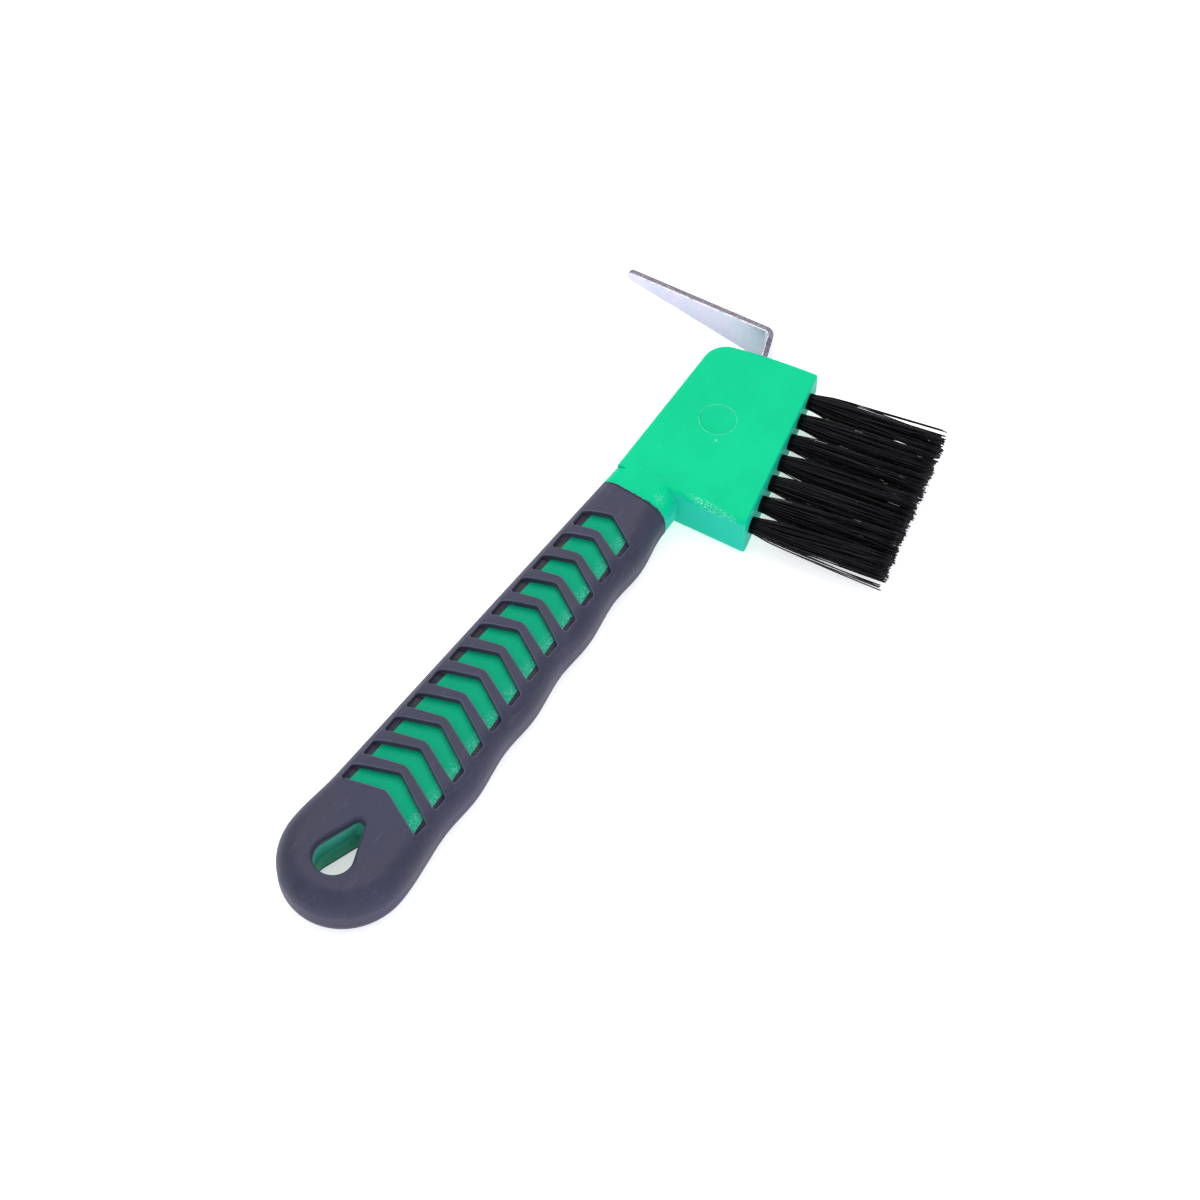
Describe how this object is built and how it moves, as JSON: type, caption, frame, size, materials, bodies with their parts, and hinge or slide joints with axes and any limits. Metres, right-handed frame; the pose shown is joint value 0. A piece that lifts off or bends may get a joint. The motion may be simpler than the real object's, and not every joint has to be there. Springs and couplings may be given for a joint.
{
  "type": "hoof pick",
  "caption": "Hoof pick with a bent steel hook and a short bristle brush on a tapered plastic head, and a soft chevron-windowed grip with a teardrop hanging hole.",
  "frame": {"origin": "middle of the hanging hole's round end, on the mould's parting plane", "axes": "+Y along the handle to the head, +X out through the brush, +Z out of the face with the round mark"},
  "size_m": [0.094, 0.1789, 0.013],
  "materials": {
    "green_plastic": "satin moulded, slightly translucent",
    "soft_grip": "matt",
    "zinc_steel": "zinc plated",
    "bristle": "smooth nylon filament",
    "anchor_metal": "bare wire"
  },
  "bodies": {
    "root": {"core_body": "green_plastic", "grip_sleeve": "soft_grip", "hook": "zinc_steel", "tuft_1": "bristle", "tuft_2": "bristle", "tuft_3": "bristle", "tuft_4": "bristle", "tuft_5": "bristle", "tuft_6": "bristle", "tuft_7": "bristle", "tuft_anchor_1": "anchor_metal", "tuft_anchor_2": "anchor_metal", "tuft_anchor_3": "anchor_metal", "tuft_anchor_4": "anchor_metal", "tuft_anchor_5": "anchor_metal", "tuft_anchor_6": "anchor_metal", "tuft_anchor_7": "anchor_metal"}
  },
  "joints": []
}
